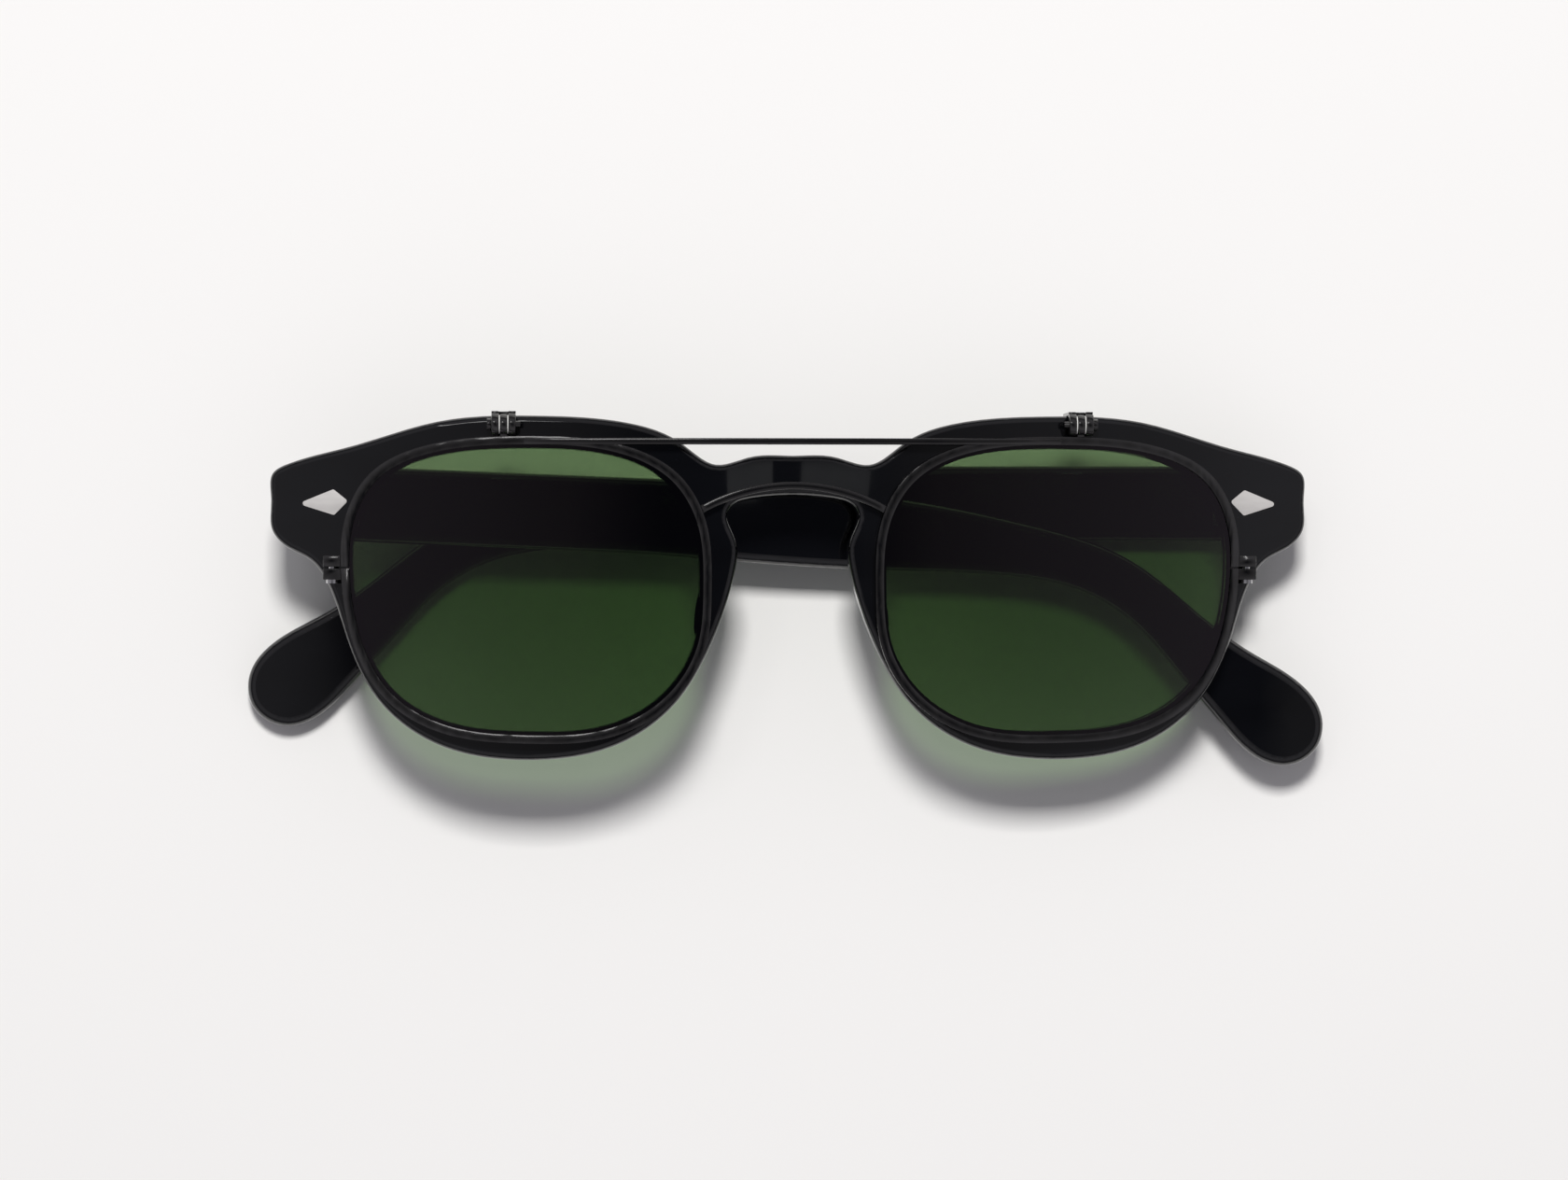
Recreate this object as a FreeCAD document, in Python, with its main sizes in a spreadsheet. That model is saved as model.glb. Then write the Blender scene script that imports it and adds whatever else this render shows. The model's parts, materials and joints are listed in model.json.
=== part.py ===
import FreeCAD, Part
import math
import os

import Sketcher
from FreeCAD import Placement, Rotation, Vector

# Acetate spectacles with a flip-up clip-on, lying folded on a table with the front facing up.
# Front frame, used for all modelling: X to the viewer's right, Y up the face, Z towards the viewer.
# Left and right are the wearer's, so left pieces have a positive x.
# Lengths are in millimetres and angles in degrees.

SIZES = {
    # spectacle front
    "lens_width": 47.6,
    "lens_height": 39.1,
    "bridge_width": 24.3,
    "end_reach": 10.65,
    "front_thickness": 4.2,
    "face_radius": 350,
    "edge_round": 0.8,
    "lens_thickness": 1.8,
    "lens_bevel": 0.45,
    "seat_clearance": 0.03,
    "pad_length": 13,
    "pad_width": 3.4,
    "pad_depth": 4.2,
    "pad_inset": 1.2,
    "pad_drop": 0.75,
    "pad_tilt": 14,
    # temples and their hinges
    "hinge_height": 11.95,
    "hinge_inset": 6.5,
    "hinge_drop": 2.0,
    "temple_reach": 138.3,
    "temple_height": 10.3,
    "temple_thickness": 4.5,
    "temple_bend_thickness": 3.7,
    "temple_tip_thickness": 4.7,
    "temple_inner_drop": 2.0,
    "temple_top_bend": 86.3,
    "temple_under_bend": 104,
    "butt_angle": 11,
    "butt_setback": 1.95,
    "temple_round": 1.25,
    "right_fold": 2.0,
    "left_fold": 3.0,
    "right_skew": 2.3,
    "barrel_radius": 1.3,
    "barrel_height": 1.2,
    "barrel_gap": 0.06,
    "plate_thickness": 1.0,
    "plate_width": 6.2,
    "front_plate_length": 7,
    "temple_plate_length": 6.5,
    "screw_radius": 0.6,
    "screw_head_radius": 1.0,
    "screw_head_depth": 0.5,
    "screw_clearance": 0.04,
    "core_width": 1.6,
    "core_thickness": 1.0,
    "rivet_length": 6.8,
    "rivet_width": 3.5,
    "rivet_depth": 0.6,
    "rivet_round": 0.35,
    "rivet_proud": 0.1,
    "rivet_pin_radius": 0.5,
    "rivet_pin_offset": 1.2,
    "rivet_inset": 0.55,
    "rivet_drop": 0.1,
    # clip-on
    "clip_overlap": 1.1,
    "clip_wire": 1.1,
    "clip_depth": 1.6,
    "clip_gap": 0.5,
    "tint_thickness": 1.1,
    "tint_bevel": 0.45,
    "bar_lift": 0.4,
    "bar_width": 0.85,
    "bar_depth": 1.0,
    "bar_overrun": 0.3,
    "bar_proud": 0.2,
    "arch_lift": 1.2,
    "arch_sag": 4.0,
    "arch_foot": 1.5,
    "arch_width": 1.0,
    "arch_depth": 1.2,
    "lock_height": 3.0,
    "lock_slot": 0.25,
    "lock_length": 2.4,
    "lock_block": 1.5,
    "lock_depth": 1.9,
    "lock_screw_radius": 0.42,
    "lock_head_radius": 0.8,
    "lock_head_depth": 0.5,
    # flip hinges and brow hooks
    "flip_outset": 3.0,
    "flip_drop": 1.25,
    "flip_standoff": 2.0,
    "flip_knuckle_radius": 1.35,
    "flip_knuckle_width": 1.0,
    "flip_leg_depth": 1.0,
    "flip_ear_radius": 1.5,
    "flip_ear_width": 1.0,
    "flip_washer": 0.12,
    "flip_play": 0.01,
    "flip_pin_radius": 0.45,
    "flip_pin_head_radius": 0.8,
    "flip_pin_head": 0.6,
    "flip_pin_tail": 0.6,
    "hook_strip": 0.45,
    "hook_over_brow": 0.08,
    "hook_length": 3.6,
    "sleeve_wall": 0.35,
    "sleeve_length": 2.6,
    "sleeve_clearance": 0.15,
}

# Closed lens outline about the lens centre, in half lens widths and half lens heights, brow to nose.
LENS_SHAPE = [
    (-0.01, 1.0), (0.53, 0.943), (0.845, 0.755), (0.985, 0.425), (1.0, 0.13), (0.95, -0.28),
    (0.77, -0.70), (0.43, -0.94), (-0.01, -1.0), (-0.45, -0.96), (-0.80, -0.72), (-0.97, -0.37),
    (-1.0, 0.01), (-0.97, 0.44), (-0.83, 0.74), (-0.49, 0.95),
]
# Stretches of the half outline of the acetate front. Brow and rim use the same units as the lens.
BROW_SHAPE = [(-0.88, 1.01), (-0.60, 1.146), (-0.05, 1.202), (0.50, 1.162), (1.0, 0.99)]
RIM_SHAPE = [
    (1.128, 0.06), (1.019, -0.32), (0.834, -0.765), (0.497, -1.069), (-0.01, -1.174),
    (-0.514, -1.069), (-0.851, -0.775), (-1.002, -0.49),
]
# End piece, in millimetres from the side of the front and from the hinge height.
END_SHAPE = [(-2.5, 5.2), (-0.2, 3.8), (0.0, 0.3), (-0.15, -3.8), (-2.0, -6.0), (-5.4, -7.9)]
# Keyhole bridge, in half bridge widths and half lens heights: the nose side, then the top edge.
KEYHOLE_SHAPE = [
    (0.74, -0.10), (0.627, 0.18), (0.617, 0.30), (0.66, 0.385), (0.712, 0.46), (0.722, 0.53),
    (0.66, 0.59), (0.48, 0.632), (0.0, 0.656),
]
BRIDGE_TOP_SHAPE = [(0.0, 0.925), (0.48, 0.915), (0.85, 0.863)]
# Bend and tip of a temple, in millimetres from the farthest point of the tip and the hinge height.
TEMPLE_EDGE = [
    (-60.5, 3.85), (-51.3, 2.75), (-43.3, 1.35), (-35.8, -0.25), (-26.8, -3.6), (-17.6, -10.25),
    (-10.3, -15.25), (-3.3, -19.25), (0.0, -23.6), (-0.5, -28.1), (-4.8, -30.75), (-9.3, -29.5),
    (-13.9, -25.25), (-20.3, -18.25), (-25.8, -12.45), (-33.3, -8.0), (-44.3, -6.15), (-58.0, -6.1),
    (-71.3, -6.1), (-88.0, -5.45),
]
# Middle line of the core wire of a temple, in the same frame as the edge.
CORE_LINE = [(-60, -1.0), (-44, -2.0), (-31, -5.6), (-19, -14.4), (-9, -23.3)]
# Kite-shaped rivet head, in half lengths and half widths.
KITE_SHAPE = [(-1.0, 0.09), (-0.42, 1.0), (1.0, -0.11), (-0.45, -1.0)]

doc = FreeCAD.newDocument("clip_on_spectacles")
sheet = doc.addObject("Spreadsheet::Sheet", "Sizes")
for row, (alias, value) in enumerate(SIZES.items(), start=1):
    sheet.set(f"A{row}", alias)
    sheet.set(f"B{row}", str(value))
    sheet.setAlias(f"B{row}", alias)
doc.recompute()

X_AXIS = Vector(1, 0, 0)
Y_AXIS = Vector(0, 1, 0)
Z_AXIS = Vector(0, 0, 1)
ORIGIN = Vector(0, 0, 0)
TALL = 200
SIDES = {"right": -1, "left": 1}
pieces = []


def size(alias):
    """Value of one cell of the sheet."""
    return float(sheet.get(alias))


def cell(*aliases):
    """Sum of cells as an expression and as a number."""
    return " + ".join(f"Sizes.{alias}" for alias in aliases), sum(size(alias) for alias in aliases)


lens_x = (size("bridge_width") + size("lens_width")) / 2
half_x = size("lens_width") / 2
half_y = size("lens_height") / 2
side_x = lens_x + half_x + size("end_reach")
hinge_x = side_x - size("hinge_inset")
brow_y = BROW_SHAPE[2][1] * half_y
face_centre = -math.sqrt(size("face_radius") ** 2 - (side_x - 4) ** 2)
front_face = size("face_radius") + size("front_thickness")
clip_back = front_face + size("clip_gap")
clip_front = clip_back + size("clip_depth")
rim_grow = size("clip_overlap")
tint_grow = rim_grow - size("clip_wire") + size("tint_bevel")
flip_x = lens_x + size("flip_outset")
flip_y = brow_y - size("flip_drop")
flip_z = face_centre + math.sqrt(front_face**2 - flip_x**2) + size("flip_standoff")


def face_z(radius, x):
    """Height at x of the cylinder of this radius about the face-form axis."""
    return face_centre + math.sqrt(radius**2 - x**2)


def smooth_loop(points, stride):
    """Edges of a smooth closed curve through points of the XY plane, parted at every stride-th point."""
    wrap = 3
    loop = points[-wrap:] + points + points[: wrap + 1]
    curve = Part.BSplineCurve()
    curve.interpolate(Points=[Vector(x, y, 0) for x, y in loop])
    knots = curve.getKnots()
    edges = []
    for start in range(wrap, wrap + len(points), stride):
        stretch = curve.copy()
        stretch.segment(knots[start], knots[start + stride])
        edges.append(stretch.toShape())
    return edges


def prism(wire):
    """Solid along Z inside a wire of the XY plane."""
    face = Part.Face(wire)
    face.translate(Vector(0, 0, -TALL / 2))
    return face.extrude(Vector(0, 0, TALL))


def block(low, high):
    """Box between two corners."""
    return Part.makeBox(high.x - low.x, high.y - low.y, high.z - low.z, low)


def rod(radius, length, base, axis):
    """Cylinder from base along axis."""
    return Part.makeCylinder(radius, length, base, axis)


def drum(radius):
    """Cylinder about the face-form axis, with its seam far to the side."""
    solid = Part.makeCylinder(radius, TALL, Vector(0, 0, -TALL / 2), Z_AXIS)
    solid.rotate(ORIGIN, X_AXIS, -90)
    solid.translate(Vector(0, 0, face_centre))
    return solid


def shell(inner, outer):
    """Curved layer of the face form between two radii."""
    return drum(outer).cut(drum(inner))


def sided(shape, side):
    """Shape made for the wearer's left, mirrored for the right."""
    return shape if side > 0 else shape.mirror(ORIGIN, X_AXIS)


def lens_prism(grow):
    """Prism of the wearer's left lens outline, grown all round."""
    outline = [(lens_x + u * (half_x + grow), v * (half_y + grow)) for u, v in LENS_SHAPE]
    return prism(Part.Wire(smooth_loop(outline, 4)))


def lens_disc(grow, inner, outer):
    """Curved disc with the outline of the wearer's left lens."""
    return lens_prism(grow).common(shell(inner, outer))


def place(obj, placement):
    """Keep a finished sub-part and where it stands in the front frame."""
    obj.Placement = placement
    pieces.append(obj)
    return obj


def feature(label, shape):
    """Sub-part with a shape of its own, given in the front frame."""
    obj = doc.addObject("Part::Feature", label)
    solids = shape.Solids
    obj.Shape = solids[0] if len(solids) == 1 else Part.makeCompound(solids)
    return place(obj, Placement())


def turned(label, corners, placement):
    """Body turned about Z from a closed profile of (radius cells, height cells) corners."""
    body = doc.addObject("PartDesign::Body", label)
    profile = body.newObject("Sketcher::SketchObject", label + "_profile")
    plane = next(item for item in body.Origin.OriginFeatures if item.Role == "XZ_Plane")
    profile.AttachmentSupport = [(plane, "")]
    profile.MapMode = "FlatFace"
    spots = [Vector(cell(*radius)[1], cell(*height)[1], 0) for radius, height in corners]
    for index, spot in enumerate(spots):
        profile.addGeometry(Part.LineSegment(spot, spots[(index + 1) % len(spots)]))
    for index in range(len(spots)):
        profile.addConstraint(Sketcher.Constraint("Coincident", index, 2, (index + 1) % len(spots), 1))
    for index, (radius, height) in enumerate(corners):
        bind_corner(profile, index, "DistanceX", radius, -2)
        bind_corner(profile, index, "DistanceY", height, -1)
    turn = body.newObject("PartDesign::Revolution", label + "_turn")
    turn.Profile = profile
    turn.ReferenceAxis = (profile, ["V_Axis"])
    turn.Angle = 360
    return place(body, placement)


def bind_corner(profile, index, kind, aliases, axis):
    """Tie one coordinate of a profile corner to the sheet, or to an axis where it is zero."""
    if not aliases:
        profile.addConstraint(Sketcher.Constraint("PointOnObject", index, 1, axis))
        return
    expression, value = cell(*aliases)
    number = profile.addConstraint(Sketcher.Constraint(kind, -1, 1, index, 1, value))
    profile.renameConstraint(number, f"{kind}_{index}")
    profile.setExpression(f"Constraints.{kind}_{index}", expression)


def headed(label, head_radius, head_depth, shank_radius, lengths, placement):
    """Turned screw or pin: its head, then a shank of the given lengths."""
    tip = (head_depth, *lengths)
    corners = [
        ((), ()),
        ((head_radius,), ()),
        ((head_radius,), (head_depth,)),
        ((shank_radius,), (head_depth,)),
        ((shank_radius,), tip),
        ((), tip),
    ]
    return turned(label, corners, placement)


# ---------------------------------------------------------------- spectacle front


def front_outline():
    """Outline of the front: the left half from the bridge top round to the keyhole, then its mirror."""
    half_bridge = size("bridge_width") / 2
    half = [(u * half_bridge, v * half_y) for u, v in BRIDGE_TOP_SHAPE]
    half += [(lens_x + u * half_x, v * half_y) for u, v in BROW_SHAPE]
    half += [(side_x + u, size("hinge_height") + v) for u, v in END_SHAPE]
    half += [(lens_x + u * half_x, v * half_y) for u, v in RIM_SHAPE]
    half += [(u * half_bridge, v * half_y) for u, v in KEYHOLE_SHAPE]
    return half + [(-x, y) for x, y in reversed(half[1:-1])]


def rounded_edges(solid, radius):
    """Solid with the edges between its curved faces and its side walls rounded."""
    rims = []
    for edge in solid.Edges:
        kinds = {type(wall.Surface) for wall in solid.ancestorsOfType(edge, Part.Face)}
        if Part.Cylinder in kinds and Part.Plane not in kinds and len(kinds) == 2:
            rims.append(edge)
    return solid.makeFillet(radius, rims)


def front_half():
    """Left half of the acetate front, cut at the middle of the bridge."""
    outline = front_outline()
    edges = smooth_loop(outline, 2)[: len(outline) // 4]
    ends = [edges[-1].Vertexes[1].Point, edges[0].Vertexes[0].Point]
    body = prism(Part.Wire(edges + [Part.LineSegment(*ends).toShape()]))
    body = body.common(shell(size("face_radius"), front_face))
    body = rounded_edges(body, size("edge_round"))
    body = body.cut(lens_prism(-size("lens_bevel"))).cut(spectacle_lens(size("seat_clearance")))
    return body


def front_shape():
    """Acetate front with lens apertures, lens grooves and the seats of its hinge plates and rivets."""
    half = front_half()
    body = half.fuse(sided(half, -1)).removeSplitter()
    for side in SIDES.values():
        body = body.cut(front_plate_slab(side, size("seat_clearance")))
        body = body.cut(front_rivet(side, size("seat_clearance")))
    return body


def spectacle_lens(clearance):
    """Lens of the wearer's left eye, or its groove when given a clearance."""
    middle = size("face_radius") + size("front_thickness") / 2
    half = size("lens_thickness") / 2 + clearance
    return lens_disc(clearance, middle - half, middle + half)


def nose_pad(side):
    """Moulded acetate pad on the back of the nasal rim."""
    x = size("bridge_width") / 2 - size("pad_inset")
    pad = Part.makeSphere(1)
    scale = FreeCAD.Matrix()
    scale.scale(Vector(size("pad_width") / 2, size("pad_length") / 2, size("pad_depth")))
    pad = pad.transformGeometry(scale)
    pad.rotate(ORIGIN, Z_AXIS, size("pad_tilt"))
    pad.translate(Vector(x, -size("pad_drop"), face_z(size("face_radius"), x)))
    return sided(pad.common(drum(size("face_radius"))), side)


# ---------------------------------------------------------------- temples and spectacle hinges
# A hinge frame has its origin on the hinge axis at mid height, Y along the axis, the folded temple
# along +X and its outer face towards -Z. The wearer's left temple is the mirror of the right one.


def hinge_frame(side):
    """Where the folded right or left temple stands in the front frame."""
    fold = size("right_fold") if side < 0 else size("left_fold")
    skew = -size("right_skew") if side < 0 else 0
    turn = Rotation(Z_AXIS, skew).multiply(Rotation(Y_AXIS, -fold))
    return Placement(Vector(side * hinge_x, size("hinge_height"), -size("hinge_drop")), turn)


def front_hinge_frame(side):
    """Hinge frame of the front's own barrels, which follow the skew of the axis only."""
    skew = -size("right_skew") if side < 0 else 0
    return Placement(
        Vector(side * hinge_x, size("hinge_height"), -size("hinge_drop")), Rotation(Z_AXIS, skew)
    )


def in_frame(shape, side, frame):
    """Shape given in the right hinge frame, mirrored for the left and set in the front frame."""
    local = shape if side < 0 else shape.mirror(ORIGIN, X_AXIS)
    return local.transformShape(frame.toMatrix(), True)


def temple_outer():
    """Depth of the outer face of a temple below its hinge axis."""
    return size("temple_inner_drop") + size("temple_thickness")


def temple_outline():
    """Side view of a temple in its hinge frame."""
    half = size("temple_height") / 2
    reach = size("temple_reach")
    butt = size("temple_inner_drop") + 0.2
    upper = Vector(reach - size("temple_top_bend"), half, 0)
    lower = Vector(reach - size("temple_under_bend"), -half, 0)
    curve = Part.BSplineCurve()
    bend = [upper] + [Vector(reach + u, v, 0) for u, v in TEMPLE_EDGE] + [lower]
    curve.interpolate(Points=bend, InitialTangent=X_AXIS, FinalTangent=-X_AXIS)
    corners = [lower, Vector(-butt, -half, 0), Vector(-butt, half, 0), upper]
    lines = [Part.LineSegment(corners[i], corners[i + 1]).toShape() for i in range(3)]
    return Part.Wire([curve.toShape()] + lines)


def temple_profile():
    """Top view of a temple: flat outer face, inner face swelling at the hinge and the tip."""
    outer = -temple_outer()
    reach = size("temple_reach")
    inner = [
        (-3, size("temple_thickness")),
        (18, size("temple_thickness")),
        (48, size("temple_thickness") - 0.3),
        (reach - 32, size("temple_bend_thickness")),
        (reach - 12, size("temple_tip_thickness")),
        (reach + 1, size("temple_tip_thickness") - 0.6),
    ]
    curve = Part.BSplineCurve()
    curve.interpolate(Points=[Vector(x, 0, outer + thickness) for x, thickness in inner])
    corners = [Vector(reach + 1, 0, outer + inner[-1][1]), Vector(reach + 1, 0, outer)]
    corners += [Vector(-3, 0, outer), Vector(-3, 0, outer + inner[0][1])]
    lines = [Part.LineSegment(corners[i], corners[i + 1]).toShape() for i in range(3)]
    face = Part.Face(Part.Wire([curve.toShape()] + lines))
    face.translate(Vector(0, -TALL / 2, 0))
    return face.extrude(Vector(0, TALL, 0))


def temple_shape(side):
    """Acetate temple with a mitred butt and the seats of its plate, core wire and rivet."""
    body = prism(temple_outline()).common(temple_profile())
    mitre = block(Vector(-10, -TALL / 2, -TALL / 2), Vector(0, TALL / 2, TALL / 2))
    mitre.rotate(ORIGIN, Y_AXIS, -size("butt_angle"))
    mitre.translate(Vector(-size("butt_setback"), 0, -size("temple_inner_drop")))
    body = body.cut(mitre)
    long_edges = [edge for edge in body.Edges if edge.Length > 15]
    body = body.makeFillet(size("temple_round"), long_edges)
    clearance = size("seat_clearance")
    body = body.cut(temple_plate(clearance)).cut(core_wire(clearance)).cut(temple_rivet(clearance))
    return in_frame(body, side, hinge_frame(side))


def plate_end():
    """How far the temple hinge plate reaches along the temple."""
    return size("temple_plate_length") - size("barrel_radius")


def core_wire(clearance):
    """Flat metal core running down the middle of a temple, or its channel."""
    reach = size("temple_reach")
    half = size("core_width") / 2 + clearance
    start = Vector(plate_end(), 0, 0)
    upper = [start + Vector(0, half, 0)]
    lower = [start - Vector(0, half, 0)]
    path = [start] + [Vector(reach + u, v, 0) for u, v in CORE_LINE]
    for before, spot, after in zip(path, path[1:], path[2:] + [path[-1]]):
        along = (after - before).normalize()
        across = Vector(-along.y, along.x, 0) * half
        upper.append(spot + across)
        lower.append(spot - across)
    top = Part.BSplineCurve()
    top.interpolate(Points=upper, InitialTangent=X_AXIS, FinalTangent=path[-1] - path[-2])
    bottom = Part.BSplineCurve()
    bottom.interpolate(Points=lower, InitialTangent=X_AXIS, FinalTangent=path[-1] - path[-2])
    ends = [Part.LineSegment(upper[i], lower[i]).toShape() for i in (0, -1)]
    face = Part.Face(Part.Wire(Part.sortEdges([top.toShape(), ends[0], bottom.toShape(), ends[1]])[0]))
    middle = -temple_outer() + size("temple_bend_thickness") / 2
    face.translate(Vector(0, 0, middle - size("core_thickness") / 2 - clearance))
    return face.extrude(Vector(0, 0, size("core_thickness") + 2 * clearance))


def barrel_levels():
    """Bottom of each of the five hinge barrels along the axis."""
    pitch = size("barrel_height") + size("barrel_gap")
    return [(index - 2.5) * pitch + size("barrel_gap") / 2 for index in range(5)]


def barrels(levels, web_low, web_high):
    """Barrels at the given levels, each on a web that reaches its plate."""
    radius = size("barrel_radius")
    height = size("barrel_height")
    solid = None
    for level in levels:
        ring = rod(radius, height, Vector(0, level, 0), Y_AXIS)
        web = block(Vector(-radius, level, web_low), Vector(radius, level + height, web_high))
        knuckle = ring.fuse(web)
        solid = knuckle if solid is None else solid.fuse(knuckle)
    return solid


def hinge_bore():
    """Bore of a spectacle hinge, with room for its screw to turn."""
    return rod(size("screw_radius") + size("screw_clearance"), TALL, Vector(0, -TALL / 2, 0), Y_AXIS)


def front_plate_slab(side, clearance):
    """Flat part of the front's hinge plate, which follows the face form."""
    half = size("plate_width") / 2 + clearance
    near = -size("barrel_radius") - 0.9 - clearance
    far = near + size("front_plate_length") + 2 * clearance
    slab = block(Vector(near, -half, -TALL / 4), Vector(far, half, TALL / 4))
    slab = in_frame(slab, side, front_hinge_frame(side))
    back = size("face_radius")
    return slab.common(shell(back - 0.1, back + size("plate_thickness") + clearance))


def front_hinge_plate(side):
    """Hinge plate of the front: its slab and three barrels."""
    levels = barrel_levels()[::2]
    back = face_z(size("face_radius"), hinge_x)
    lugs = barrels(levels, 0, back + size("hinge_drop") + 0.4)
    lugs = in_frame(lugs, side, front_hinge_frame(side))
    bore = in_frame(hinge_bore(), side, front_hinge_frame(side))
    return front_plate_slab(side, 0).fuse(lugs).cut(bore).removeSplitter()


def temple_plate(clearance):
    """Hinge plate of a temple let into its inner face, or its recess."""
    half = size("plate_width") / 2 + clearance
    top = -size("temple_inner_drop")
    near = -size("barrel_radius")
    low = Vector(near - clearance, -half, top - size("plate_thickness") - clearance)
    return block(low, Vector(plate_end() + clearance, half, top + clearance))


def temple_hinge_plate(side):
    """Hinge plate of a temple: its slab and two barrels."""
    lugs = barrels(barrel_levels()[1::2], -size("temple_inner_drop") - 0.2, 0)
    plate = temple_plate(0).fuse(lugs).cut(hinge_bore()).removeSplitter()
    return in_frame(plate, side, hinge_frame(side))


def hinge_screw(name, side):
    """Screw along a spectacle hinge axis, its head on top."""
    top = Vector(0, barrel_levels()[4] + size("barrel_height") + size("screw_head_depth"), 0)
    spot = front_hinge_frame(side).multVec(top)
    turn = front_hinge_frame(side).Rotation.multiply(Rotation(Z_AXIS, -Y_AXIS))
    return headed(
        name + "_hinge_screw",
        "screw_head_radius",
        "screw_head_depth",
        "screw_radius",
        ["barrel_height"] * 5 + ["barrel_gap"] * 4,
        Placement(spot, turn),
    )


def kite(centre_x, centre_y, clearance):
    """Prism of a kite-shaped rivet head whose long point is away from the nose."""
    long_half = size("rivet_length") / 2
    short_half = size("rivet_width") / 2
    ratio = 1 + clearance / (short_half * 0.75)
    spots = [
        Vector(centre_x + u * long_half * ratio, centre_y + v * short_half * ratio, 0) for u, v in KITE_SHAPE
    ]
    head = prism(Part.makePolygon(spots + spots[:1]))
    corners = [edge for edge in head.Edges if edge.Length > TALL / 2]
    return head.makeFillet(size("rivet_round") + clearance, corners)


def front_rivet(side, clearance):
    """Kite rivet through the end piece into the hinge plate, or its seat."""
    x = hinge_x - size("rivet_inset")
    y = size("hinge_height") - size("rivet_drop")
    plate = size("face_radius") + size("plate_thickness")
    head = kite(x, y, clearance).common(
        shell(front_face - size("rivet_depth") - clearance, front_face + size("rivet_proud"))
    )
    pin = rod(size("rivet_pin_radius") + clearance, TALL, Vector(x - size("rivet_pin_offset"), y, 0), Z_AXIS)
    pin = pin.common(shell(plate, front_face - size("rivet_depth")))
    return sided(head.fuse(pin).removeSplitter(), side)


def temple_rivet(clearance):
    """Kite rivet from the outer face of a temple to its hinge plate, or its seat."""
    outer = -temple_outer()
    x = size("temple_plate_length") / 2
    sink = 0.05 if clearance == 0 else 0
    head = kite(-x, 0, clearance).mirror(ORIGIN, X_AXIS)
    head = head.common(block(Vector(-TALL, -TALL, outer + sink), Vector(TALL, TALL, outer + 0.5 + clearance)))
    depth = temple_outer() - size("temple_inner_drop") - size("plate_thickness") - 0.4
    start = Vector(x + size("rivet_pin_offset"), 0, outer + 0.4)
    pin = rod(size("rivet_pin_radius") + clearance, depth, start, Z_AXIS)
    return head.fuse(pin).removeSplitter()


# ---------------------------------------------------------------- clip-on


def clip_rim(side):
    """Metal rim with a lens groove, split at the closing block."""
    rim = lens_disc(rim_grow, clip_back, clip_front).cut(lens_prism(rim_grow - size("clip_wire")))
    rim = rim.cut(tinted_lens(size("seat_clearance")))
    half = size("lock_slot") / 2
    slot = block(
        Vector(lens_x, size("lock_height") - half, -TALL), Vector(TALL, size("lock_height") + half, TALL)
    )
    return sided(rim.cut(slot), side)


def tinted_lens(clearance):
    """Tinted lens of the wearer's left side, or its groove when given a clearance."""
    middle = (clip_back + clip_front) / 2
    half = size("tint_thickness") / 2 + clearance
    return lens_disc(tint_grow + clearance, middle - half, middle + half)


def lock_x():
    """Place of the screw of the closing block along X."""
    return lens_x + half_x + rim_grow + size("lock_length") / 2


def lock_z():
    """Middle of the closing block in depth."""
    return face_z((clip_back + clip_front) / 2, lock_x())


def rim_lock(side, up):
    """Upper or lower half of the closing block, soldered to the end of the rim."""
    near = size("lock_height") + up * size("lock_slot") / 2
    far = near + up * size("lock_block")
    half_z = size("lock_depth") / 2
    low = Vector(lock_x() - size("lock_length"), min(near, far), lock_z() - half_z)
    high = Vector(lock_x() + size("lock_length") / 2, max(near, far), lock_z() + half_z)
    half = block(low, high).cut(lens_prism(rim_grow))
    bore = rod(
        size("lock_screw_radius") + size("seat_clearance"), TALL, Vector(lock_x(), -TALL / 2, lock_z()), Y_AXIS
    )
    return sided(half.cut(bore), side)


def rim_lock_screw(name, side):
    """Screw that draws the two halves of a closing block together, its head below."""
    bottom = size("lock_height") - size("lock_slot") / 2 - size("lock_block") - size("lock_head_depth")
    return headed(
        name + "_rim_lock_screw",
        "lock_head_radius",
        "lock_head_depth",
        "lock_screw_radius",
        ["lock_block", "lock_slot", "lock_block"],
        Placement(Vector(side * lock_x(), bottom, lock_z()), Rotation(Z_AXIS, Y_AXIS)),
    )


def clip_top_bar():
    """Straight brow bar that joins the two clip rims and lies along their tops."""
    half = size("bar_width") / 2
    y = half_y + size("bar_lift")
    reach = lens_x + size("bar_overrun")
    bar = block(Vector(-reach, y - half, -TALL), Vector(reach, y + half, TALL))
    bar = bar.common(shell(clip_front - size("bar_depth"), clip_front + size("bar_proud")))
    rim = lens_disc(rim_grow, clip_back, clip_front)
    return bar.cut(rim).cut(sided(rim, -1))


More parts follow.
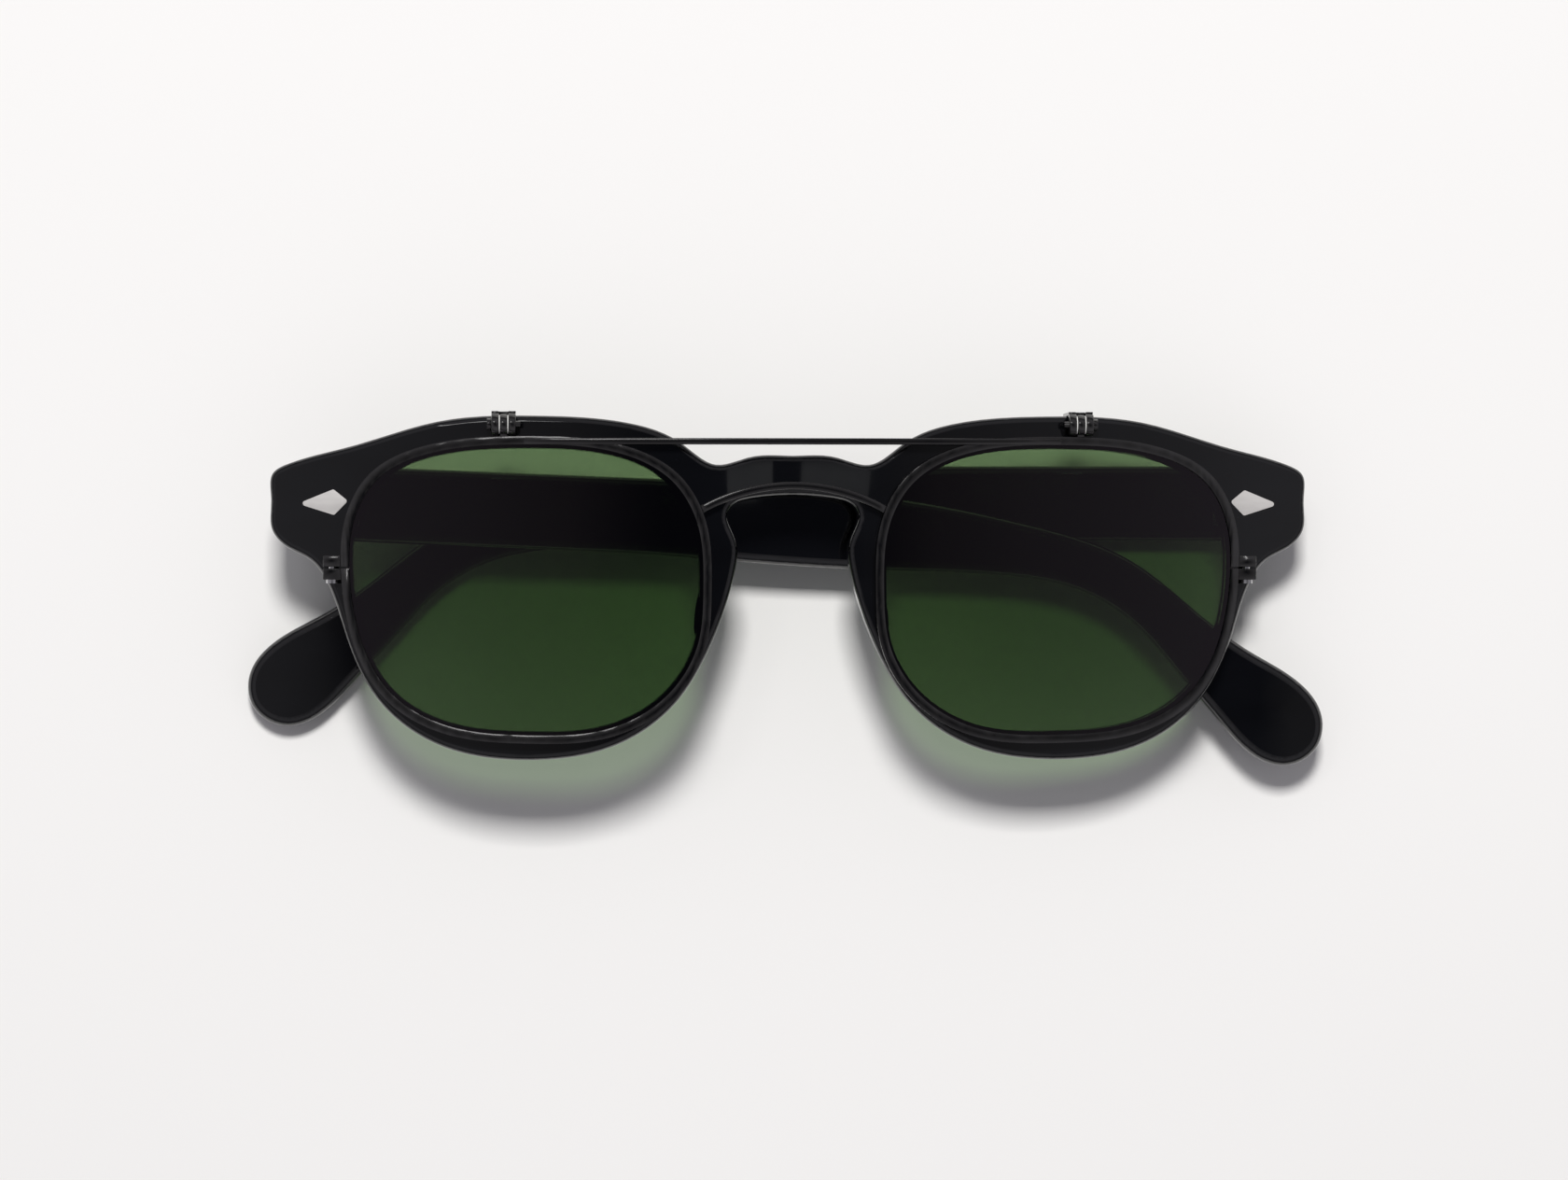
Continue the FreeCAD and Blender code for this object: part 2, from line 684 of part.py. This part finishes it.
def clip_arch():
    """Arched nose bridge between the clip rims."""
    half = size("arch_width") / 2
    foot_x = size("bridge_width") / 2 + size("arch_foot")
    top_y = KEYHOLE_SHAPE[-1][1] * half_y + size("arch_lift")
    sag = size("arch_sag")
    radius = (foot_x**2 + sag**2) / (2 * sag)
    centre = Vector(0, top_y - radius, -TALL / 2)
    ring = rod(radius + half, TALL, centre, Z_AXIS).cut(rod(radius - half, TALL, centre, Z_AXIS))
    reach = Vector(foot_x, top_y - sag - 2, -TALL / 2)
    ring = ring.common(block(Vector(-reach.x, reach.y, reach.z), Vector(reach.x, TALL, TALL / 2)))
    middle = (clip_back + clip_front) / 2
    arch = ring.common(shell(middle - size("arch_depth") / 2, middle + size("arch_depth") / 2))
    rim = lens_prism(rim_grow)
    return arch.cut(rim).cut(sided(rim, -1))


# ---------------------------------------------------------------- flip hinges and brow hooks
# The flip axis runs along X. Each hinge has a centre knuckle on the rim between two ears of a bracket.


def ear_start():
    """Distance of an ear's inner face from the middle of its hinge."""
    return size("flip_knuckle_width") / 2 + size("flip_washer") + 2 * size("flip_play")


def flip_bore(radius):
    """Bore along a flip hinge axis at the wearer's left."""
    start = Vector(flip_x - 10, flip_y, flip_z)
    return rod(radius, 20, start, X_AXIS)


def flip_knuckle(side):
    """Centre knuckle and the leg that carries it on top of the rim."""
    half = size("flip_knuckle_width") / 2
    ring = rod(size("flip_knuckle_radius"), 2 * half, Vector(flip_x - half, flip_y, flip_z), X_AXIS)
    leg_top = flip_z + 0.25
    leg = block(
        Vector(flip_x - half, half_y, leg_top - size("flip_leg_depth")), Vector(flip_x + half, flip_y, leg_top)
    )
    knuckle = ring.fuse(leg).cut(lens_prism(rim_grow))
    knuckle = knuckle.cut(flip_bore(size("flip_pin_radius") + 0.05))
    return sided(knuckle.removeSplitter(), side)


def bracket_levels():
    """Underside height of the bracket strap and depth of the rear hook."""
    strap = brow_y + size("hook_over_brow")
    back = face_z(size("face_radius"), flip_x + ear_reach())
    hook = back - size("sleeve_clearance") - size("sleeve_wall")
    return strap, hook


def ear_reach():
    """Distance of an ear's outer face from the middle of its hinge."""
    return ear_start() + size("flip_ear_width")


def hinge_bracket(side):
    """Two ears on a strap that hooks over the brow and down behind the front."""
    x = flip_x
    strap, hook = bracket_levels()
    strip = size("hook_strip")
    reach = ear_reach()
    gap_back = flip_z - size("flip_knuckle_radius") - 0.1
    body = block(Vector(x - reach, strap, hook - strip), Vector(x + reach, strap + strip, gap_back))
    down = block(
        Vector(x - reach, strap - size("hook_length"), hook - strip), Vector(x + reach, strap + strip, hook)
    )
    body = body.fuse(down)
    for start in (x - reach, x + ear_start()):
        width = size("flip_ear_width")
        ear = rod(size("flip_ear_radius"), width, Vector(start, flip_y, flip_z), X_AXIS)
        arm = block(Vector(start, strap, gap_back), Vector(start + width, strap + strip, flip_z))
        body = body.fuse(ear).fuse(arm)
    bore = flip_bore(size("flip_pin_radius") + size("flip_play"))
    return sided(body.cut(bore).removeSplitter(), side)


def hook_sleeve(side):
    """Soft sleeve on the rear hook, against the back of the front."""
    x = flip_x
    strap, hook = bracket_levels()
    strip = size("hook_strip")
    reach = ear_reach()
    wall = size("sleeve_wall")
    bottom = strap - size("hook_length")
    outer = block(
        Vector(x - reach - wall, bottom - wall, hook - strip - wall),
        Vector(x + reach + wall, bottom + size("sleeve_length"), hook + wall),
    )
    outer = outer.makeFillet(wall * 0.9, outer.Edges)
    inner = block(Vector(x - reach, bottom, hook - strip), Vector(x + reach, strap, hook))
    return sided(outer.cut(inner), side)


def flip_pin(name, side):
    """Pin of a flip hinge: head towards the temple, plain tail towards the nose."""
    start = side * (flip_x + ear_reach() + size("flip_pin_head"))
    spot = Vector(start, flip_y, flip_z)
    return headed(
        name + "_flip_hinge_pin",
        "flip_pin_head_radius",
        "flip_pin_head",
        "flip_pin_radius",
        ["flip_ear_width"] * 2
        + ["flip_washer"] * 2
        + ["flip_play"] * 4
        + ["flip_knuckle_width", "flip_pin_tail"],
        Placement(spot, Rotation(Z_AXIS, Vector(-side, 0, 0))),
    )


def flip_washers(name, side):
    """Two thin friction washers beside the centre knuckle, as bored discs."""
    rings = []
    for end in (-1, 1):
        middle = size("flip_knuckle_width") / 2 + size("flip_play") + size("flip_washer") / 2
        start = side * flip_x + end * middle - size("flip_washer") / 2
        spot = Placement(Vector(start, flip_y, flip_z), Rotation(Z_AXIS, X_AXIS))
        disc = doc.addObject("Part::Cylinder", f"{name}_washer_disc")
        disc.setExpression("Radius", "Sizes.flip_knuckle_radius - 0.1")
        disc.setExpression("Height", "Sizes.flip_washer")
        disc.Placement = spot
        bore = doc.addObject("Part::Cylinder", f"{name}_washer_bore")
        bore.setExpression("Radius", "Sizes.flip_pin_radius + Sizes.flip_play")
        bore.setExpression("Height", "Sizes.flip_washer")
        bore.Placement = spot
        ring = doc.addObject("Part::Cut", f"{name}_washer_ring")
        ring.Base = disc
        ring.Tool = bore
        rings.append(ring)
    pair = doc.addObject("Part::Compound", name + "_flip_washers")
    pair.Links = rings
    return place(pair, Placement())


# ---------------------------------------------------------------- assembly


def build_side(name, side):
    """All pieces of one side."""
    feature(name + "_nose_pad", nose_pad(side))
    feature(name + "_spectacle_lens", sided(spectacle_lens(0), side))
    feature(name + "_temple", temple_shape(side))
    feature(name + "_temple_core_wire", in_frame(core_wire(0), side, hinge_frame(side)))
    feature(name + "_front_hinge_plate", front_hinge_plate(side))
    feature(name + "_temple_hinge_plate", temple_hinge_plate(side))
    hinge_screw(name, side)
    feature(name + "_front_rivet", front_rivet(side, 0))
    feature(name + "_temple_rivet", in_frame(temple_rivet(0), side, hinge_frame(side)))
    feature(name + "_clip_rim", clip_rim(side))
    feature(name + "_tinted_lens", sided(tinted_lens(0), side))
    feature(name + "_rim_lock_upper", rim_lock(side, 1))
    feature(name + "_rim_lock_lower", rim_lock(side, -1))
    rim_lock_screw(name, side)
    feature(name + "_flip_knuckle", flip_knuckle(side))
    feature(name + "_hinge_bracket", hinge_bracket(side))
    feature(name + "_hook_sleeve", hook_sleeve(side))
    flip_pin(name, side)
    flip_washers(name, side)


def rest_placement():
    """The part lies on the flat outer face of the left temple, its box centred over the origin."""
    tilt = Rotation(Y_AXIS, size("left_fold"))
    lean = math.radians(size("left_fold"))
    lift = hinge_x * math.sin(lean) + size("hinge_drop") * math.cos(lean) + temple_outer()
    tilted = []
    for obj in pieces:
        shape = obj.Shape.copy()
        shape.Placement = Placement(ORIGIN, tilt).multiply(obj.Placement)
        tilted.append(shape.optimalBoundingBox())
    middle_x = (min(box.XMin for box in tilted) + max(box.XMax for box in tilted)) / 2
    middle_y = (min(box.YMin for box in tilted) + max(box.YMax for box in tilted)) / 2
    return Placement(Vector(-middle_x, -middle_y, lift), tilt)


def check(obj):
    """Stop if an object failed or its shape isn't sound."""
    if "Invalid" in obj.State or "Error" in obj.State:
        raise RuntimeError(f"{obj.Label} failed: {obj.State}")
    if obj in pieces and (obj.Shape.isNull() or not obj.Shape.isValid()):
        raise RuntimeError(f"{obj.Label} has no sound shape")


feature("front_frame", front_shape())
for side_name, side_sign in SIDES.items():
    build_side(side_name, side_sign)
feature("clip_top_bar", clip_top_bar())
feature("clip_bridge_arch", clip_arch())
doc.recompute()

rest = rest_placement()
for piece in pieces:
    piece.Placement = rest.multiply(piece.Placement)
doc.recompute()

for item in doc.Objects:
    check(item)
os.makedirs("parts", exist_ok=True)
for piece in pieces:
    piece.Shape.exportStep(f"parts/{piece.Label}.step")
print(len(pieces), "pieces; front frame stands at", rest.Base)
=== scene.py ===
import math

import bpy
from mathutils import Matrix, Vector
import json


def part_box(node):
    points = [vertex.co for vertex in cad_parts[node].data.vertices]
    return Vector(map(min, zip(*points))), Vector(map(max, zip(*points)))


# Folded acetate spectacles with a flip-up clip-on, seen straight down on a pale table.
# Metres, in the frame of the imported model: X to the right, Y up the face, Z towards the viewer.

MM = 0.001

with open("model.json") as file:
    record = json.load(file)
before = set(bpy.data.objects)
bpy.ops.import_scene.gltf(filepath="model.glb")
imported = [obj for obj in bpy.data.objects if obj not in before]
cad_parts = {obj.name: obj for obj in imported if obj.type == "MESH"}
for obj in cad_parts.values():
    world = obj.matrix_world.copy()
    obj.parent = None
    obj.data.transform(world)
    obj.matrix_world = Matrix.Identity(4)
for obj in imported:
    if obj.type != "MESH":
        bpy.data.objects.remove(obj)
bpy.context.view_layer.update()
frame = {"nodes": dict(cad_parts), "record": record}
nodes = frame["nodes"]


def middle(*names):
    """Centre of the box of some nodes."""
    lows, highs = zip(*(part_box(name) for name in names))
    low = Vector(min(p[i] for p in lows) for i in range(3))
    high = Vector(max(p[i] for p in highs) for i in range(3))
    return (low + high) / 2


front_middle = middle("right_spectacle_lens", "left_spectacle_lens")

# ---------------------------------------------------------------- camera, light and floor

CAMERA_HEIGHT = 0.72
FIELD_WIDTH = 213 * MM
CAMERA_SHIFT = -0.85 * MM
LIGHT_LEAN = 0.47
LIGHT_REACH = 1.5
FACE_RADIUS = 354 * MM
FACE_TILT = math.radians(3)
DARK_LEAN = math.radians(4)
CARD_LOW = 12.4 * MM
CARD_HIGH = 17.5 * MM
CARD_RADIANCE = 0.28
FLOOR_HALF = 3.0


def add_camera():
    """Long lens looking straight down, a little left of the middle of the front."""
    data = bpy.data.cameras.new("camera")
    data.sensor_width = 36
    data.clip_start = 0.01
    data.lens = data.sensor_width * CAMERA_HEIGHT / FIELD_WIDTH
    camera = bpy.data.objects.new("camera", data)
    camera.location = front_middle + Vector((CAMERA_SHIFT, 0, CAMERA_HEIGHT))
    bpy.context.collection.objects.link(camera)
    bpy.context.scene.camera = camera


def add_area(name, place, target, size, power, colour=(1, 1, 1)):
    """Rectangular soft light aimed at a point, or straight down."""
    data = bpy.data.lights.new(name, "AREA")
    data.shape = "RECTANGLE"
    data.size, data.size_y = size
    data.energy = power
    data.color = colour
    light = bpy.data.objects.new(name, data)
    light.location = place
    if target:
        light.rotation_euler = (target - place).to_track_quat("-Z", "Y").to_euler()
    bpy.context.collection.objects.link(light)
    return light


def add_bridge_card(name, left, right):
    """Small bright card whose mirror image lies between these edges of the curved front."""
    height = 1.0

    def mirrored(x):
        normal = FACE_TILT + x / FACE_RADIUS
        view = (CAMERA_SHIFT - x) / CAMERA_HEIGHT
        return x + height * math.tan(2 * normal - view)

    spread = 1 + height / CAMERA_HEIGHT
    start, end = mirrored(left), mirrored(right)
    size = (end - start, (CARD_HIGH - CARD_LOW) * spread)
    spot = front_middle + Vector(((start + end) / 2, (CARD_LOW + CARD_HIGH) / 2 * spread, height))
    power = CARD_RADIANCE * math.pi * size[0] * size[1]
    add_area(name, spot, None, size, power)


def add_world():
    """Dim surround: dark overhead, so that black acetate stays black, and paler at the horizon."""
    world = bpy.data.worlds.new("surround")
    bpy.context.scene.world = world
    world.use_nodes = True
    tree = world.node_tree
    background = tree.nodes["Background"]
    place = tree.nodes.new("ShaderNodeTexCoord")
    split = tree.nodes.new("ShaderNodeSeparateXYZ")
    ramp = tree.nodes.new("ShaderNodeValToRGB")
    turn = tree.nodes.new("ShaderNodeMapping")
    turn.inputs["Rotation"].default_value = (0, -DARK_LEAN, 0)
    levels = ramp.color_ramp.elements
    levels[0].position = 0.0
    levels[0].color = (0.90, 0.88, 0.93, 1)
    levels[1].position = 0.996
    levels[1].color = (0.03, 0.032, 0.044, 1)
    tones = {0.08: 0.10, 0.30: 0.15, 0.55: 0.35, 0.80: 0.35, 0.88: 0.28, 0.965: 0.16, 0.985: 0.11}
    for position, tone in tones.items():
        levels.new(position).color = (tone, tone * 0.97, tone * 1.04, 1)
    tree.links.new(place.outputs["Generated"], turn.inputs["Vector"])
    tree.links.new(turn.outputs[0], split.inputs[0])
    tree.links.new(split.outputs["Z"], ramp.inputs[0])
    tree.links.new(ramp.outputs[0], background.inputs["Color"])


def add_floor():
    """Plain pale table top."""
    mesh = bpy.data.meshes.new("table_top")
    corners = [(x * FLOOR_HALF, y * FLOOR_HALF, 0) for x, y in ((-1, -1), (1, -1), (1, 1), (-1, 1))]
    mesh.from_pydata(corners, [], [(0, 1, 2, 3)])
    floor = bpy.data.objects.new("table_top", mesh)
    bpy.context.collection.objects.link(floor)
    skin = new_material("pale_table", (0.9, 0.9, 0.89), roughness=0.9)
    skin.node_tree.nodes["Principled BSDF"].inputs["Specular IOR Level"].default_value = 0.1
    mesh.materials.append(skin)


# ---------------------------------------------------------------- materials


def new_material(name, colour, **values):
    """Principled material with values set on its own sockets."""
    material = bpy.data.materials.new(name)
    material.use_nodes = True
    shader = material.node_tree.nodes["Principled BSDF"]
    shader.inputs["Base Color"].default_value = (*colour, 1)
    for key, value in values.items():
        shader.inputs[key.replace("_", " ").title().replace("Ior", "IOR")].default_value = value
    return material


def object_noise(tree, scale, stretch=(1, 1, 1), detail=2.0):
    """Noise over the object's own coordinates, squeezed along each axis by its stretch."""
    place = tree.nodes.new("ShaderNodeTexCoord")
    mapping = tree.nodes.new("ShaderNodeMapping")
    mapping.inputs["Scale"].default_value = stretch
    noise = tree.nodes.new("ShaderNodeTexNoise")
    noise.inputs["Scale"].default_value = scale
    noise.inputs["Detail"].default_value = detail
    tree.links.new(place.outputs["Object"], mapping.inputs["Vector"])
    tree.links.new(mapping.outputs[0], noise.inputs["Vector"])
    return noise.outputs["Fac"]


def noise_to(material, socket, scale, low, high, stretch=(1, 1, 1)):
    """Drive one value socket with stretched noise between two levels."""
    tree = material.node_tree
    noise = object_noise(tree, scale, stretch, detail=3.0)
    span = tree.nodes.new("ShaderNodeMapRange")
    span.inputs["From Min"].default_value = 0.3
    span.inputs["From Max"].default_value = 0.7
    span.inputs["To Min"].default_value = low
    span.inputs["To Max"].default_value = high
    tree.links.new(noise, span.inputs["Value"])
    tree.links.new(span.outputs[0], tree.nodes["Principled BSDF"].inputs[socket])


def noise_colour(material, scale, dark, light, stretch=(1, 1, 1)):
    """Vary the base colour between two tones with noise."""
    tree = material.node_tree
    ramp = tree.nodes.new("ShaderNodeValToRGB")
    ramp.color_ramp.elements[0].position = 0.35
    ramp.color_ramp.elements[1].position = 0.65
    ramp.color_ramp.elements[0].color = (*dark, 1)
    ramp.color_ramp.elements[1].color = (*light, 1)
    tree.links.new(object_noise(tree, scale, stretch), ramp.inputs[0])
    tree.links.new(ramp.outputs[0], tree.nodes["Principled BSDF"].inputs["Base Color"])


def bump(material, scale, strength, distance):
    """Fine surface relief from noise."""
    tree = material.node_tree
    relief = tree.nodes.new("ShaderNodeBump")
    relief.inputs["Strength"].default_value = strength
    relief.inputs["Distance"].default_value = distance
    tree.links.new(object_noise(tree, scale), relief.inputs["Height"])
    tree.links.new(relief.outputs[0], tree.nodes["Principled BSDF"].inputs["Normal"])


def acetate():
    """Polished black acetate: a hair of depth in the colour, hand-buffed gloss."""
    material = new_material("polished_black_acetate", (0.002, 0.0021, 0.0026), roughness=0.03, ior=1.48)
    shader = material.node_tree.nodes["Principled BSDF"]
    shader.inputs["Coat Weight"].default_value = 0.35
    shader.inputs["Coat Roughness"].default_value = 0.02
    noise_colour(material, 55, (0.0015, 0.0016, 0.002), (0.0025, 0.0027, 0.0035), (1, 2.5, 1))
    noise_to(material, "Roughness", 160, 0.02, 0.05)
    bump(material, 60, 0.03, 0.0002)
    return material


def metal(name, dark, light, rough, stretch, scale):
    """Brushed or plated metal with fine streaks in its gloss."""
    material = new_material(name, light, metallic=1.0, roughness=rough[0])
    noise_colour(material, scale / 3, dark, light, stretch)
    noise_to(material, "Roughness", scale, rough[0], rough[1], stretch)
    return material


def lens_material(name, tint, tint_edge, gloss, index):
    """Thin coated lens: coloured see-through, whose outer faces reflect more at grazing angles."""
    material = bpy.data.materials.new(name)
    material.use_nodes = True
    tree = material.node_tree
    tree.nodes.clear()
    output = tree.nodes.new("ShaderNodeOutputMaterial")
    through = tree.nodes.new("ShaderNodeBsdfTransparent")
    mirror = tree.nodes.new("ShaderNodeBsdfGlossy")
    mirror.inputs["Roughness"].default_value = 0.02
    mirror.inputs["Color"].default_value = (*gloss, 1)
    fresnel = tree.nodes.new("ShaderNodeFresnel")
    fresnel.inputs["IOR"].default_value = index
    geometry = tree.nodes.new("ShaderNodeNewGeometry")
    front_only = tree.nodes.new("ShaderNodeMath")
    front_only.operation = "SUBTRACT"
    front_only.use_clamp = True
    blend = tree.nodes.new("ShaderNodeMixShader")
    place = tree.nodes.new("ShaderNodeTexCoord")
    noise = tree.nodes.new("ShaderNodeTexNoise")
    noise.inputs["Scale"].default_value = 18
    ramp = tree.nodes.new("ShaderNodeValToRGB")
    ramp.color_ramp.elements[0].position = 0.4
    ramp.color_ramp.elements[1].position = 0.6
    ramp.color_ramp.elements[0].color = (*tint_edge, 1)
    ramp.color_ramp.elements[1].color = (*tint, 1)
    tree.links.new(place.outputs["Object"], noise.inputs["Vector"])
    tree.links.new(noise.outputs["Fac"], ramp.inputs[0])
    tree.links.new(ramp.outputs[0], through.inputs["Color"])
    tree.links.new(fresnel.outputs[0], front_only.inputs[0])
    tree.links.new(geometry.outputs["Backfacing"], front_only.inputs[1])
    tree.links.new(front_only.outputs[0], blend.inputs[0])
    tree.links.new(through.outputs[0], blend.inputs[1])
    tree.links.new(mirror.outputs[0], blend.inputs[2])
    tree.links.new(blend.outputs[0], output.inputs["Surface"])
    return material


def soft_clear():
    """Milky silicone of the hook sleeves."""
    material = new_material("clear_silicone", (0.72, 0.73, 0.74), roughness=0.4)
    shader = material.node_tree.nodes["Principled BSDF"]
    shader.inputs["Subsurface Weight"].default_value = 0.3
    shader.inputs["Subsurface Scale"].default_value = 0.0005
    noise_to(material, "Roughness", 500, 0.3, 0.5)
    return material


def nylon():
    """White nylon washers."""
    material = new_material("white_nylon", (0.8, 0.8, 0.78), roughness=0.45)
    noise_to(material, "Roughness", 700, 0.35, 0.55)
    return material


def satin_silver():
    """Pale satin rivet, bead-blasted so that it looks even from all sides."""
    material = new_material("satin_silver", (0.66, 0.645, 0.63), metallic=0.25, roughness=0.42)
    noise_colour(material, 300, (0.63, 0.615, 0.6), (0.68, 0.665, 0.65), (1, 4, 1))
    noise_to(material, "Roughness", 300, 0.38, 0.46, (1, 4, 1))
    return material


def paint():
    """Give every CAD node the material of its slot."""
    skins = {
        "black_acetate": acetate(),
        "clear_lens": lens_material(
            "clear_demo_lens", (0.965, 0.975, 0.965), (0.96, 0.972, 0.96), (1, 1, 1), 1.5
        ),
        "green_lens": lens_material(
            "green_tinted_lens", (0.368, 0.464, 0.316), (0.362, 0.458, 0.310), (1.0, 0.86, 1.0), 1.55
        ),
        "dark_clip_metal": metal(
            "dark_gunmetal", (0.08, 0.079, 0.078), (0.10, 0.099, 0.098), (0.14, 0.18), (1, 3, 3), 400
        ),
        "silver_rivet": satin_silver(),
        "hinge_steel": metal(
            "hinge_steel", (0.5, 0.5, 0.51), (0.62, 0.62, 0.63), (0.25, 0.35), (1, 4, 1), 400
        ),
        "nylon": nylon(),
        "soft_sleeve": soft_clear(),
    }
    for part in frame["record"]["subparts"]:
        node = nodes[part["node"]]
        node.data.materials.clear()
        node.data.materials.append(skins[part["material_slot"]])
        for face in node.data.polygons:
            face.use_smooth = True


def soften_metal():
    """Break the sharp edges of the clip metal and the rivets with a small bevel that catches light."""
    for part in frame["record"]["subparts"]:
        if part["material_slot"] not in ("dark_clip_metal", "silver_rivet"):
            continue
        node = nodes[part["node"]]
        weld = node.modifiers.new("weld", "WELD")
        weld.merge_threshold = 0.002 * MM
        bevel = node.modifiers.new("bevel", "BEVEL")
        bevel.width = 0.12 * MM
        bevel.segments = 2
        bevel.limit_method = "ANGLE"
        bevel.angle_limit = math.radians(40)
        bevel.harden_normals = True


add_camera()
add_world()
add_floor()
lean = Vector((0.0, LIGHT_LEAN, 1.0)).normalized()
key = add_area(
    "key_softbox", front_middle + lean * LIGHT_REACH, front_middle, (0.26, 0.26), 18.5, (1.0, 0.986, 0.966)
)
key.visible_glossy = False
side = Vector((-0.25, LIGHT_LEAN, 1.0)).normalized()
add_area("sheen_softbox", front_middle + side * LIGHT_REACH, front_middle, (0.3, 0.16), 0.75)
add_bridge_card("left_card", -8.8 * MM, -2.7 * MM)
add_bridge_card("right_card", 1.1 * MM, 10.5 * MM)
bpy.context.scene.view_settings.view_transform = "Standard"
paint()
soften_metal()
